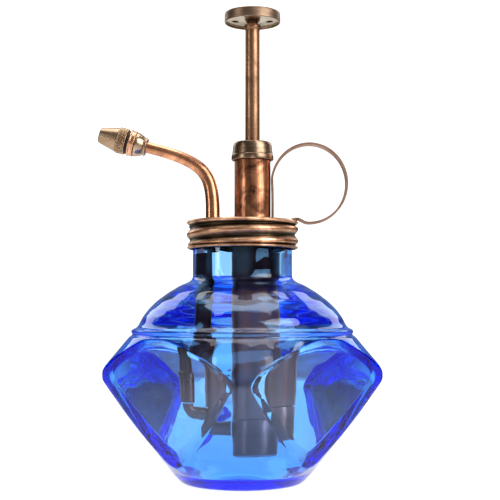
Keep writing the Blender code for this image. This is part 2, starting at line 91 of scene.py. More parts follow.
# cap
CAP_LOW, CAP_HIGH = 83.8, 94.2
CAP_CREST, CAP_VALLEY, CAP_SHEET = 20.35, 19.1, 0.35
CAP_PITCH, CAP_CREST_HEIGHT, CAP_CREST_SHARPNESS = 4.25, 86.85, 0.8
CAP_COLUMNS, CAP_ROWS = 288, 110
CAP_HOLE = 6.2
# distance from the edge of the cap and half width, with the share of the crest's height
CAP_RIM_BEAD, CAP_RIM_SHARE = (0.8, 0.9), 0.95
CAP_FOOT_BEAD, CAP_FOOT_SHARE = (0.6, 0.75), 0.9
# distance from the edge at which the helix starts, and the length in which it rises
HELIX_FROM_RIM, HELIX_FROM_FOOT = (1.6, 0.8), (0.9, 0.9)

# pump
PUMP_X = 3.65
RISER_X = -10.9
SPRING_LOW, SPRING_HIGH = 33.6, 106.9
SPRING_RADIUS, SPRING_WIRE, SPRING_TURNS = 3.9, 0.4, 12
SPRING_EASE = 0.045
BARREL_RADIUS, BARREL_BORE = 6.6, 5.8
FITTING_RADIUS, FITTING_BORE = 2.4, 1.5
ELBOW_BEND, ELBOW_HEIGHT, ELBOW_TOP = 2.9, 28.0, 31.4
KNOB_HOLE_OUT, KNOB_HOLE_RADIUS = 6.3, 1.3

# spout and nozzle
SPOUT_PATH = [
    (-10.9, 88.3), (-10.9, 96.0), (-11.0, 101.0), (-11.5, 105.6), (-12.7, 109.6),
    (-15.0, 112.9), (-18.6, 115.6), (-22.6, 117.5), (-26.8, 119.0), (-31.4, 120.3),
    (-36.6, 121.67),
]
SPOUT_RADII = [2.55, 2.55, 2.5, 2.45, 2.4, 2.35, 2.25, 2.2, 2.12, 2.05, 2.05]
SPOUT_BORE = 1.3
NOZZLE_X, NOZZLE_Z, NOZZLE_TILT = -35.2, 121.3, math.radians(14.8)
KNURL_RADIUS, KNURL_LOW, KNURL_HIGH = 4.8, 7.75, 10.7
KNURL_COLUMNS, KNURL_TEETH, KNURL_ROWS = 384, 48, 30
KNURL_DEPTH, KNURL_LEAN, KNURL_FADE = 0.36, 7.0, 0.3

# finger ring
STRIP_HALF_WIDTH, STRIP_HALF_THICK = 2.5, 0.4
LOOP_X, LOOP_Z, LEG_X = 24.4, 107.9, 11.0
LOOP_HALF_WIDTH, LOOP_HALF_HEIGHT = 13.7, 14.5
LOOP_START, LOOP_SWEEP, LOOP_PARTS = 172, 264, 30
# the strip's last rows narrow to this share of its width
TAPER_ROWS, TAPER_SHARE = 12.0, 0.55

# metals: the colour of the light places and of the dark ones
COPPER = (0.60, 0.28, 0.16), (0.22, 0.10, 0.06)
BRONZE = (0.50, 0.35, 0.24), (0.20, 0.135, 0.09)
CAP_COPPER = (0.97, 0.60, 0.38), (0.30, 0.14, 0.08)
BARREL_COPPER = (0.78, 0.36, 0.20), (0.11, 0.05, 0.03)
SPOUT_COPPER = (0.88, 0.44, 0.25), (0.34, 0.155, 0.09)
RING_COPPER = (0.86, 0.56, 0.42), (0.46, 0.27, 0.19)
FLANGE_COPPER = (0.90, 0.52, 0.33), (0.55, 0.28, 0.17)
ROD_BRONZE = (0.50, 0.29, 0.175), (0.27, 0.15, 0.09)
KNOB_BRONZE = (0.34, 0.235, 0.165), (0.18, 0.12, 0.085)
KNOB_POLISHED = (0.76, 0.66, 0.52), (0.56, 0.47, 0.35)
FERRULE_BRONZE = (0.58, 0.43, 0.31), (0.36, 0.25, 0.17)
TIP_BRONZE = (0.62, 0.44, 0.29), (0.36, 0.25, 0.165)
BRASS = (0.42, 0.29, 0.13), (0.20, 0.13, 0.06)
SPRING_STEEL = (0.60, 0.60, 0.62), (0.35, 0.35, 0.36)
BALL_STEEL = (0.62, 0.62, 0.64), (0.45, 0.45, 0.47)
TARNISH_ROUGHNESS = 0.096
# heights in millimetres with the colour there, for metal inside the bottle: painted shade, darkest in the
# neck, with a painted reflection as the barrel's light band
BARREL_PAINTED_LIGHT_LEVELS = [
    (25.0, (0.38, 0.13, 0.10)), (31.0, (0.72, 0.26, 0.19)), (58.0, (0.66, 0.23, 0.17)),
    (65.0, (0.11, 0.04, 0.04)), (76.0, (0.035, 0.015, 0.018)),
]
PIPE_PAINTED_SHADE_LEVELS = [
    (36.0, (0.38, 0.13, 0.10)), (48.0, (0.12, 0.045, 0.04)), (60.0, (0.03, 0.013, 0.016)),
]
# between these heights the painted light and shade inside the bottle fade out, leaving the metal's own
# colour above
PAINTED_LIGHTING_BELOW, PAINTED_LIGHTING_GONE_ABOVE = 90.2, 92.5
# how dark the cap's grooves are, and the radii at which the metal changes on its way to the crest
GROOVE, OLIVE = (0.08, 0.10, 0.10), (0.50, 0.60, 0.66)
GROOVE_RADIUS, OLIVE_RADIUS, CREST_RADIUS = 19.3, 19.7, 20.1
# scales of the drawing lines along a tube and round a turned piece
ALONG_Z, ROUND_Z = (900.0, 900.0, 35.0), (60.0, 60.0, 1500.0)
ALONG_SPOUT, ALONG_STRIP = (500.0, 500.0, 120.0), (60.0, 1500.0, 60.0)

# other materials
GLASS_COLOUR, GLASS_DENSITY = (0.01, 0.60, 0.987, 1.0), 205.0
GLASS_IOR, WATER_IOR = 1.5, 1.33
RUBBER_DARK, RUBBER_LIGHT = (0.010, 0.010, 0.011), (0.026, 0.026, 0.027)
LEATHER_DARK, LEATHER_LIGHT = (0.05, 0.024, 0.010), (0.15, 0.075, 0.032)
WHITE = (1.0, 1.0, 1.0)

# stage, in metres and watts: name, place, width, height and power of each soft box
SOFT_BOXES = [
    ("key", (0.50, -0.40, 0.40), 0.50, 0.60, 4.4),
    ("fill", (-0.50, -0.30, 0.22), 0.10, 0.40, 0.6),
    ("top", (0.0, 0.10, 0.75), 0.60, 0.60, 3.0),
    ("back_left", (-0.65, 0.75, 0.62), 0.50, 0.60, 1.8),
    ("back_right", (0.65, 0.75, 0.62), 0.50, 0.60, 1.8),
]
BOX_TARGET = (0.0, 0.0, 0.08)
FLOOR_SIZE, FLOOR_DROP = 0.6, 0.0002
FLOOR_COLOUR, FLOOR_GLOW, FLOOR_GLOW_STRENGTH = (0.40, 0.40, 0.42, 1.0), (0.97, 0.97, 1.0, 1.0), 0.72
FLOOR_FULL_TO, FLOOR_GONE_FROM = 0.05, 0.16
MAUVE, PALE = (0.40, 0.17, 0.16), (0.80, 0.80, 0.82)
FRONT_DARK, FRONT_DUSK, UNDER_WALLS = (0.34, 0.24, 0.25), (0.40, 0.28, 0.30), (0.42, 0.28, 0.28)
BACKDROP_STRENGTH, WALL_STRENGTH = 1.05, 1.12


# ---------------------------------------------------------------- meshes


def to_object(name, points, faces, body, covers=(), smooth_angle=35):
    """A mesh object in the frame's axes that rides on a body and stands for CAD nodes."""
    mesh = bpy.data.meshes.new(name)
    mesh.from_pydata([tuple(p) for p in np.asarray(points, float) * MM], [], faces)
    mesh.validate()
    mesh.polygons.foreach_set("use_smooth", [True] * len(mesh.polygons))
    mesh.set_sharp_from_angle(angle=math.radians(smooth_angle))
    mesh.update()
    made = bpy.data.objects.new(name, mesh)
    bpy.context.scene.collection.objects.link(made)
    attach(made, body)
    if covers:
        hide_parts(*covers)
    return made


def grid_faces(rows, columns, closed_rows=False):
    """Quads of a grid whose columns wrap round, and whose rows may wrap too."""
    faces = []
    for i in range(rows if closed_rows else rows - 1):
        a, b = i * columns, ((i + 1) % rows) * columns
        for j in range(columns):
            k = (j + 1) % columns
            faces.append((a + j, a + k, b + k, b + j))
    return faces


def rounded(line, radius=0.25, parts=3, closed=True):
    """The line with each corner replaced by a small arc."""
    made = []
    count = len(line)
    for i, corner in enumerate(line):
        at = np.array(corner, float)
        if not closed and i in (0, count - 1):
            made.append(tuple(at))
            continue
        before = np.array(line[i - 1], float)
        after = np.array(line[(i + 1) % count], float)
        back, on = before - at, after - at
        size_back, size_on = np.linalg.norm(back), np.linalg.norm(on)
        reach = min(radius, 0.45 * size_back, 0.45 * size_on)
        if reach < 1e-4 or at[0] < 1e-9:
            made.append(tuple(at))
            continue
        start, end = at + back / size_back * reach, at + on / size_on * reach
        for step in range(parts + 1):
            t = step / parts
            made.append(tuple((1 - t) ** 2 * start + 2 * t * (1 - t) * at + t * t * end))
    return made


def lathe_arrays(line, columns, closed):
    """Points and faces of a line of (radius, height) turned about Z; open lines end on the axis."""
    points, faces = [], []
    turns = np.arange(columns) * TAU / columns
    rows = line if closed else line[1:-1]
    for r, h in rows:
        points += [(r * math.cos(t), r * math.sin(t), h) for t in turns]
    faces += [f[::-1] for f in grid_faces(len(rows), columns, closed)]
    if not closed:
        for (_, height), row in ((line[0], 0), (line[-1], len(rows) - 1)):
            centre = len(points)
            points.append((0.0, 0.0, height))
            for j in range(columns):
                k = (j + 1) % columns
                edge = (row * columns + j, row * columns + k, centre)
                faces.append(edge if row == 0 else edge[::-1])
    return np.array(points, float), faces


def lathe(name, line, body, covers, x=0.0, columns=96, closed=True, radius=0.25):
    """A turned piece. The line runs down the outer side and back up the inner one."""
    points, faces = lathe_arrays(rounded(line, radius, closed=closed), columns, closed)
    points += np.array([x, 0.0, 0.0])
    return to_object(name, points, faces, body, covers)


def curve_through(rows, parts):
    """Points on a smooth curve through the given rows of numbers."""
    rows = [np.array(r, float) for r in rows]
    made = []
    for i in range(len(rows) - 1):
        p0, p1 = rows[max(i - 1, 0)], rows[i]
        p2, p3 = rows[i + 1], rows[min(i + 2, len(rows) - 1)]
        for step in range(parts):
            t = step / parts
            made.append(0.5 * (
                2 * p1 + (p2 - p0) * t + (2 * p0 - 5 * p1 + 4 * p2 - p3) * t * t
                + (3 * p1 - p0 - 3 * p2 + p3) * t ** 3
            ))
    made.append(rows[-1])
    return made


# ---------------------------------------------------------------- bottle


def softened(line, spacing, spread):
    """The line sampled evenly and smoothed, so that its corners become round as moulded glass."""
    points = np.array(line, float)
    steps = np.linalg.norm(np.diff(points, axis=0), axis=1)
    along = np.concatenate([[0.0], np.cumsum(steps)])
    count = int(along[-1] / spacing) + 1
    at = np.linspace(0.0, along[-1], count)
    fine = np.stack([np.interp(at, along, points[:, c]) for c in (0, 1)], axis=1)
    reach = int(3 * spread / spacing)
    weight = np.exp(-0.5 * (np.arange(-reach, reach + 1) * spacing / spread) ** 2)
    weight /= weight.sum()
    before = 2 * fine[0] - fine[1:reach + 1][::-1]
    after = 2 * fine[-1] - fine[-reach - 1:-1][::-1]
    padded = np.concatenate([before, fine, after])
    return np.stack([np.convolve(padded[:, c], weight, "valid") for c in (0, 1)], axis=1)


def level_radii(corner, height, wall, turns):
    """Distances from the axis at angles from a corner: a bulging face cut by two flats."""
    flat = FLAT_FLOOR + FLAT_SLOPE * height - wall
    bulge = corner
    if BULGE_HEIGHTS[0] <= height <= BULGE_HEIGHTS[-1]:
        bulge = float(np.interp(height, BULGE_HEIGHTS, BULGE_RADII)) - wall
    shift = corner - bulge
    away = np.minimum(np.abs(turns), math.radians(90) - turns)
    face = shift * np.cos(away) + np.sqrt(bulge ** 2 - (shift * np.sin(away)) ** 2)
    shape = np.minimum(face, flat / np.cos(math.radians(45) - away))
    past = (shape - TIP_RADIUS + wall) / TIP_SOFTNESS
    return shape - TIP_SOFTNESS * np.log1p(np.exp(past))


def edge_turn(corner, height, wall):
    """The angle from a corner at which its face meets the flat."""
    limit = math.radians(45) * CORNER_PARTS / (CORNER_PARTS + FLAT_PARTS)
    fine = np.linspace(0.0, math.radians(45), 400)
    flat = (FLAT_FLOOR + FLAT_SLOPE * height - wall) / np.cos(math.radians(45) - fine)
    on_flat = level_radii(corner, height, wall, fine) >= flat - 0.02
    first = fine[np.argmax(on_flat)] if on_flat.any() else math.radians(45)
    return min(max(first, math.radians(2)), limit)


def wavy(points, size, amount):
    """Moves points sideways by smooth noise, as pressed glass is never quite even."""
    for i, p in enumerate(points):
        push = noise.noise(Vector(p / size)) + 0.4 * noise.noise(Vector(p / size * 2.3))
        out = np.array([p[0], p[1], 0.0])
        far = np.linalg.norm(out)
        if far > 1.0:
            points[i] = p + out / far * push * amount
    return points


def glass_rows(line, wall):
    """One closed level of points for each (corner distance, height) of the line."""
    rows = []
    quarter = math.radians(90)
    for corner, height in line:
        edge = edge_turn(corner, height, wall)
        turns = np.concatenate([
            edge * np.linspace(-1.0, 1.0, CORNER_PARTS + 1),
            edge + (quarter - 2 * edge) * np.arange(1, FLAT_PARTS) / FLAT_PARTS,
        ])
        out = level_radii(corner, height, wall, turns)
        around = np.concatenate([turns + quarter * i for i in range(4)])
        out = np.tile(out, 4)
        high = np.full(len(around), height)
        rows.append(np.stack([out * np.cos(around), out * np.sin(around), high], axis=1))
    return np.array(rows)


def closed_skin(rows, low, high):
    """Points and faces of stacked levels, closed by a fan at the first and at the last one."""
    count, columns = rows.shape[:2]
    faces = grid_faces(count, columns)
    points = list(rows.reshape(-1, 3))
    for row, height in ((0, low), (count - 1, high)):
        centre = len(points)
        points.append(np.array([0.0, 0.0, height]))
        for j in range(columns):
            k = (j + 1) % columns
            edge = (row * columns + k, row * columns + j, centre)
            faces.append(edge if row == 0 else edge[::-1])
    return points, faces


def cavity_rows(grow):
    """The inside of the glass from its floor up, moved outward by a small amount."""
    line = softened(CAVITY_LINE, 1.1, 1.6)
    floor = np.array([(3.0, CAVITY_FLOOR), (8.0, CAVITY_FLOOR), (14.0, CAVITY_FLOOR + 0.05)])
    line = np.concatenate([floor - np.array([0.0, grow]), line + np.array([grow, 0.0])])
    rows = glass_rows(line, WALL_AT_FLATS - grow)
    return np.array(wavy(rows.reshape(-1, 3), *INNER_WAVES)).reshape(rows.shape)


def build_bottle():
    """One closed skin: underside, outside, lip, inside and floor."""
    outer = softened(BOTTLE_LINE, 0.5, 0.5)
    outer = outer[outer[:, 1] > 0.05]
    low = [(4.0, 0.0), (12.0, 0.0), (19.0, 0.0), (21.0, 0.02)]
    thread = []
    for height in THREAD_HEIGHTS:
        for step in range(THREAD_PARTS + 1):
            share = step / THREAD_PARTS
            ridge = math.sin(math.pi * share) ** 2 * THREAD_RIDGE
            thread.append((NECK_RADIUS + ridge, height + (2 * share - 1) * THREAD_HALF_WIDTH))
    lip = [
        (NECK_RADIUS, NECK_TOP - 0.6), (NECK_RADIUS - 0.2, NECK_TOP - 0.2), (NECK_RADIUS - 0.6, NECK_TOP),
        (NECK_RADIUS - 2.4, NECK_TOP), (NECK_RADIUS - 2.8, NECK_TOP - 0.15),
    ]
    rows = glass_rows(np.concatenate([np.array(low), outer, np.array(thread + lip)]), 0.0)
    moved = np.array(wavy(rows.reshape(-1, 3).copy(), *OUTER_WAVES)).reshape(rows.shape)
    outside = np.where(rows[:, :, 2:] < 0.3, rows, moved)
    inside = cavity_rows(0.0)[::-1]
    points, faces = closed_skin(np.concatenate([outside, inside]), 0.0, CAVITY_FLOOR)
    return to_object("bottle_glass", points, faces, "bottle", ["bottle"], 80)


def build_water():
    """The water that fills the bottle: its skin lies a little inside the glass all round."""
    rows = cavity_rows(WATER_OVERLAP)
    rows = rows[rows[:, 0, 2] < WATER_TOP]
    top = [rows[-1] * np.array([share, share, 1.0]) for share in (0.97, 0.5, 0.1)]
    rows = np.concatenate([rows, np.array(top)])
    points, faces = closed_skin(rows, CAVITY_FLOOR - WATER_OVERLAP, float(rows[-1, 0, 2]))
    return to_object("water_fill", points, faces, "bottle", (), 80)


# ---------------------------------------------------------------- cap


def bead(away, middle, half_width):
    """The height of a round bead: one at its middle, and nothing past half its width."""
    return max(0.0, 1.0 - ((away - middle) / half_width) ** 2)


def risen(away, start, length):
    """Nothing up to a start, and one from a length past it on."""
    return min(1.0, max(0.0, (away - start) / length))


def cap_radius(height, turn):
    """The outside of the rolled sheet: a helix between the bead at the rim and the one at the foot."""
    from_rim, from_foot = CAP_HIGH - height, height - CAP_LOW
    wave = math.cos(TAU * ((height - CAP_CREST_HEIGHT) / CAP_PITCH - turn / TAU))
    helix = (0.5 + 0.5 * wave) ** CAP_CREST_SHARPNESS
    helix *= risen(from_rim, *HELIX_FROM_RIM) * risen(from_foot, *HELIX_FROM_FOOT)
    rim = CAP_RIM_SHARE * bead(from_rim, *CAP_RIM_BEAD)
    foot = CAP_FOOT_SHARE * bead(from_foot, *CAP_FOOT_BEAD)
    return CAP_VALLEY + (CAP_CREST - CAP_VALLEY) * max(rim, foot, helix)


def build_cap():
    """A rolled sheet cap: a helical ridge, a bead at the rim and one at the foot, and a flat top."""
    rows, columns = CAP_ROWS, CAP_COLUMNS
    heights = np.linspace(CAP_HIGH - 0.35, CAP_LOW, rows)
    turns = np.arange(columns) * TAU / columns
    outer = np.array([[cap_radius(h, t) for t in turns] for h in heights])
    top_face, top_inside = CAP_HIGH - 0.25, CAP_HIGH - 0.85
    points = []
    hole = [(PUMP_X + CAP_HOLE * math.cos(t), CAP_HOLE * math.sin(t)) for t in turns]
    points += [(x, y, top_face) for x, y in hole]
    top = [(17.0, top_face), (18.4, CAP_HIGH - 0.2), (18.9, CAP_HIGH - 0.02),
           (19.5, CAP_HIGH), (19.9, CAP_HIGH - 0.12)]
    for r, h in top:
        points += [(r * math.cos(t), r * math.sin(t), h) for t in turns]
    for i, h in enumerate(heights):
        points += [(outer[i, j] * math.cos(t), outer[i, j] * math.sin(t), h)
                   for j, t in enumerate(turns)]
    for i in range(rows - 1, -1, -2):
        h = min(heights[i] + 0.05 if i == rows - 1 else heights[i], top_inside)
        inner = outer[i] - CAP_SHEET
        points += [(inner[j] * math.cos(t), inner[j] * math.sin(t), h) for j, t in enumerate(turns)]
    points += [(x, y, top_inside) for x, y in hole]
    total = len(points) // columns
    faces = [f[::-1] for f in grid_faces(total, columns)]
    last = (total - 1) * columns
    faces += [(last + j, last + (j + 1) % columns, (j + 1) % columns, j) for j in range(columns)]
    return to_object("cap_rolled", points, faces, "head", ["screw_cap"], 60)


# ---------------------------------------------------------------- tubes and strips


def build_tube(name, rows, bore, body, covers, sides=48):
    """A bent tube in the XZ plane through rows of (x, z, radius), with an open bore."""
    count = len(rows)
    points = []
    for inner in (False, True):
        order = range(count - 1, -1, -1) if inner else range(count)
        for i in order:
            before, after = rows[max(i - 1, 0)], rows[min(i + 1, count - 1)]
            along = math.atan2(after[1] - before[1], after[0] - before[0])
            radius = bore if inner else rows[i][2]
            for k in range(sides):
                out = radius * math.cos(TAU * k / sides)
                y = radius * math.sin(TAU * k / sides)
                points.append((rows[i][0] - out * math.sin(along), y,
                               rows[i][1] + out * math.cos(along)))
    faces = grid_faces(2 * count, sides, closed_rows=True)
    return to_object(name, points, [f[::-1] for f in faces], body, covers, 50)


def build_spout():
    """The bent tube that rises from the cap and tapers towards the nozzle."""
    rows = curve_through([(x, z, r) for (x, z), r in zip(SPOUT_PATH, SPOUT_RADII)], 10)
    return build_tube("spout_bent_tube", rows, SPOUT_BORE, "head", ["spout_tube"])


def build_elbow():
    """From the barrel's foot sideways, and round a quarter bend up to the riser."""
    corner = RISER_X + ELBOW_BEND
    line = [(-3.2, ELBOW_HEIGHT), (corner + 1.2, ELBOW_HEIGHT)]
    for i in range(17):
        turn = math.radians(90 * i / 16)
        line.append((corner - ELBOW_BEND * math.sin(turn),
                     ELBOW_HEIGHT + ELBOW_BEND * (1 - math.cos(turn))))
    line.append((RISER_X, ELBOW_TOP))
    rows = [(x, z, FITTING_RADIUS) for x, z in line]
    return build_tube("elbow_tube", rows, FITTING_BORE, "head", ["transfer_elbow"], 32)


def strip_line():
    """The middle of the ring's strip: up the barrel, round the loop and onto the cap's rim."""
    line = [(LEG_X, 94.6), (LEG_X, 98.0), (LEG_X, 102.0), (LEG_X - 0.05, 105.5)]
    for i in range(LOOP_PARTS + 1):
        turn = math.radians(LOOP_START - LOOP_SWEEP * i / LOOP_PARTS)
        line.append((LOOP_X + LOOP_HALF_WIDTH * math.cos(turn),
                     LOOP_Z + LOOP_HALF_HEIGHT * math.sin(turn)))
    line += [(22.6, 93.7), (21.4, 94.35), (20.3, 94.8), (19.2, 94.95), (18.0, 94.95)]
    return line


def build_ring():
    """A flat strip with rounded edges that narrows a little at its foot."""
    rows = curve_through(strip_line(), 5)
    count = len(rows)
    wide, thick = STRIP_HALF_WIDTH, STRIP_HALF_THICK
    section = rounded([(-wide, thick), (wide, thick), (wide, -thick), (-wide, -thick)], 0.22, 3)
    points = []
    for i, row in enumerate(rows):
        before, after = rows[max(i - 1, 0)], rows[min(i + 1, count - 1)]
        along = math.atan2(after[1] - before[1], after[0] - before[0])
        left = min(1.0, (count - 1 - i) / TAPER_ROWS)
        narrow = TAPER_SHARE + (1.0 - TAPER_SHARE) * math.sin(left * math.pi / 2)
        for y, up in section:
            points.append((row[0] - up * narrow * math.sin(along), y * narrow,
                           row[1] + up * narrow * math.cos(along)))
    sides = len(section)
    faces = grid_faces(count, sides)
    faces.append(tuple(range(sides))[::-1])
    faces.append(tuple(range((count - 1) * sides, count * sides)))
    return to_object("finger_strip", points, faces, "head", ["finger_ring"], 40)


def build_spring():
    """A round wire coil whose turns lie a little closer together at its ends."""
    per_turn, sides = 40, 10
    count = SPRING_TURNS * per_turn + 1
    low, high = SPRING_LOW + SPRING_WIRE, SPRING_HIGH - SPRING_WIRE
    points = []
    for i in range(count):
        share = i / (count - 1)
        turn = TAU * SPRING_TURNS * share
        eased = share - SPRING_EASE * math.sin(TAU * share)
        height = low + (high - low) * eased
        for k in range(sides):
            out = SPRING_RADIUS + SPRING_WIRE * math.cos(TAU * k / sides)
            up = SPRING_WIRE * math.sin(TAU * k / sides)
            points.append((PUMP_X + out * math.cos(turn), out * math.sin(turn), height + up))
    faces = grid_faces(count, sides)
    faces.append(tuple(range(sides))[::-1])
    faces.append(tuple(range((count - 1) * sides, count * sides)))
    made = to_object("spring_coil", points, faces, "head", ["return_spring"], 50)
    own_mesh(made)
    return made


# ---------------------------------------------------------------- turned metal


def build_pump():
    """The barrel, collar, rod, foot valve and riser, with broken edges."""
    made = {}
    made["barrel"] = lathe("barrel_tube", [
        (BARREL_RADIUS, 118.6), (BARREL_RADIUS, 30.4), (BARREL_BORE, 30.4), (BARREL_BORE, 118.6),
    ], "head", ["pump_barrel"], PUMP_X)
    made["collar"] = lathe("collar_cap", [
        (5.9, 123.2), (6.75, 122.9), (7.05, 122.0), (7.45, 118.7), (7.5, 118.4), (7.7, 118.15),
        (7.7, 116.4), (6.9, 116.4), (6.9, 119.9), (4.6, 119.9), (4.6, 121.6), (2.95, 121.6),
        (2.95, 123.2),
    ], "head", ["barrel_collar"], PUMP_X, radius=0.35)
    made["rod"] = lathe("rod_turned", [
        (0.0, 169.7), (1.7, 169.7), (1.7, 166.8), (2.8, 166.8), (3.03, 166.4), (3.03, 165.8),
        (2.9, 165.2), (2.7, 164.8), (2.65, 164.3), (2.65, 112.0), (1.5, 112.0), (1.5, 104.3),
        (1.2, 104.0), (0.0, 104.0),
    ], "plunger", ["pump_rod"], PUMP_X, closed=False, radius=0.2)
    made["foot"] = lathe("foot_turned", [
        (5.2, 33.2), (5.5, 32.9), (5.5, 30.1), (6.6, 30.1), (6.6, 17.1), (6.0, 16.5),
        (1.3, 16.5), (1.3, 18.7), (2.4, 19.8), (2.4, 33.2),
    ], "head", ["foot_valve_body"], PUMP_X)
    made["riser"] = lathe("riser_straight", [
        (2.5, 88.0), (2.5, 39.2), (FITTING_BORE, 39.2), (FITTING_BORE, 88.0),
    ], "head", ["riser_tube"], RISER_X, columns=64)
    return made


def build_knob():
    """A disc with a deep rim and a shallow cone inside it, pierced by two small holes."""
    line = [
        (0.0, 171.05), (6.0, 171.08), (9.0, 171.16), (9.6, 171.2), (10.1, 171.05), (10.3, 170.65),
        (10.3, 167.75), (10.2, 167.5), (9.95, 167.35), (9.75, 167.5), (9.7, 168.35), (3.4, 167.75),
        (2.0, 167.5), (2.0, 170.0), (0.0, 170.0),
    ]
    points, faces = lathe_arrays(rounded(line, 0.15, closed=False), 128, False)
    points += np.array([PUMP_X, 0.0, 0.0])
    made = to_object("knob_turned", points, faces, "plunger", ["knob"])
    for side in (-1, 1):
        bpy.ops.mesh.primitive_cylinder_add(
            vertices=32, radius=KNOB_HOLE_RADIUS * MM, depth=4.0 * MM,
            location=((PUMP_X + side * KNOB_HOLE_OUT) * MM, 0.0, 167.8 * MM),
        )
        pin = bpy.context.object
        boolean = made.modifiers.new("hole", "BOOLEAN")
        boolean.solver = "EXACT"
        boolean.object = pin
        bpy.context.view_layer.update()
        graph = bpy.context.evaluated_depsgraph_get()
        holed = bpy.data.meshes.new_from_object(made.evaluated_get(graph), depsgraph=graph)
        made.modifiers.clear()
        made.data = holed
        bpy.data.objects.remove(pin)
    return made


def nozzle_place(points):
    """Turns points from the nozzle's own axis to its place on the spout."""
    turn = np.array(Matrix.Rotation(-math.pi / 2 + NOZZLE_TILT, 3, "Y"))
    return points @ turn.T + np.array([NOZZLE_X, 0.0, NOZZLE_Z])


def nozzle_lathe(name, line, body, covers):
    """A piece turned about the nozzle's axis."""
    points, faces = lathe_arrays(rounded(line, 0.15), 96, True)
    return to_object(name, nozzle_place(points), faces, body, covers)


def build_nozzle():
    """The ferrule on the spout's end, the copper ring, the black seal and the cap."""
    made = {}
    made["body"] = nozzle_lathe("ferrule", [
        (2.5, 12.2), (2.8, 11.9), (2.8, 4.3), (4.35, 4.3), (4.42, 4.0), (4.3, 3.3), (3.9, 2.2),
        (3.4, 1.25), (3.05, 1.05), (3.05, 0.9), (3.35, 0.75), (3.35, 0.2), (3.1, 0.0), (2.35, 0.0),
        (2.35, 3.0), (1.2, 3.0), (1.2, 12.2),
    ], "head", ["nozzle_body"])
    made["flange"] = nozzle_lathe("flange_ring", [
        (4.55, 6.7), (4.8, 6.5), (4.8, 6.1), (4.6, 5.95), (4.6, 4.95), (4.75, 4.8), (4.7, 4.5),
        (4.5, 4.4), (3.1, 4.4), (3.1, 6.7),
    ], "head", ["nozzle_flange"])
    made["seal"] = nozzle_lathe("o_ring", [
        (4.0, 7.45), (4.25, 7.4), (4.35, 7.15), (4.25, 6.85), (4.0, 6.8), (3.1, 6.8), (3.1, 7.45),
    ], "head", ["nozzle_o_ring"])
    made["cap"] = build_nozzle_cap()
    return made


def build_nozzle_cap():
    """The knurled ring and the conical tip, in one turned shell."""
    line = rounded([
        (2.5, 17.8), (2.8, 17.5), (4.45, 11.2), (4.5, 10.95), (4.68, 10.85),
        (KNURL_RADIUS, KNURL_HIGH), (KNURL_RADIUS, KNURL_LOW), (4.6, 7.55), (3.1, 7.55),
        (3.1, 14.9), (0.45, 16.3), (0.45, 17.8),
    ], 0.10)
    knurled = KNURL_RADIUS - 0.1
    fine = []
    for i, here in enumerate(line):
        after = line[(i + 1) % len(line)]
        fine.append(here)
        if min(here[0], after[0]) > knurled and abs(after[1] - here[1]) > 2.0:
            shares = np.arange(1, KNURL_ROWS) / KNURL_ROWS
            fine += [(KNURL_RADIUS, here[1] + (after[1] - here[1]) * share) for share in shares]
    points, faces = lathe_arrays(fine, KNURL_COLUMNS, True)
    for i, (radius, height) in enumerate(fine):
        if radius < knurled or not KNURL_LOW <= height <= KNURL_HIGH:
            continue
        fade = min(1.0, (height - KNURL_LOW) / KNURL_FADE, (KNURL_HIGH - height) / KNURL_FADE)
        for j in range(KNURL_COLUMNS):
            turn = TAU * j / KNURL_COLUMNS
            one = abs(math.sin(0.5 * (KNURL_TEETH * turn + KNURL_LEAN * height)))
            two = abs(math.sin(0.5 * (KNURL_TEETH * turn - KNURL_LEAN * height)))
            depth = KNURL_DEPTH * (1.0 - min(1.0, 1.6 * min(one, two))) * max(fade, 0.0)
            points[i * KNURL_COLUMNS + j, :2] *= (radius - depth) / radius
    return to_object("knurled_tip", nozzle_place(points), faces, "nozzle_cap",
                     ["nozzle_cap"], 60)


# ---------------------------------------------------------------- materials


def new_material(name):
    """A material with its node tree and its shader."""
    made = bpy.data.materials.new(name)
    made.use_nodes = True
    tree = made.node_tree
    shader = tree.nodes["Principled BSDF"]
    return made, tree, shader


def add(tree, kind, values=(), **settings):
    """A shader node with its settings and its plain input values."""
    made = tree.nodes.new(kind)
    for key, value in settings.items():
        setattr(made, key, value)
    for key, value in dict(values).items():
        made.inputs[key].default_value = value
    return made


def ramp(tree, source, stops):
    """A colour ramp fed by a socket."""
    made = tree.nodes.new("ShaderNodeValToRGB")
    elements = made.color_ramp.elements
    elements[0].position, elements[0].color = stops[0][0], (*stops[0][1], 1.0)
    elements[1].position, elements[1].color = stops[-1][0], (*stops[-1][1], 1.0)
    for place, colour in stops[1:-1]:
        extra = elements.new(place)
        extra.color = (*colour, 1.0)
    tree.links.new(source, made.inputs["Fac"])
    return made.outputs["Color"]


def grey(value):
    return (value, value, value)


def mixed(tree, kind, factor, a, b):
    """A colour mix of two sockets or colours."""
    made = add(tree, "ShaderNodeMix", data_type="RGBA", blend_type=kind)
    for socket, value in ((made.inputs[0], factor), (made.inputs[6], a), (made.inputs[7], b)):
        if isinstance(value, bpy.types.NodeSocket):
            tree.links.new(value, socket)
        else:
            socket.default_value = value if isinstance(value, float) else (*value, 1.0)
    return made.outputs[2]


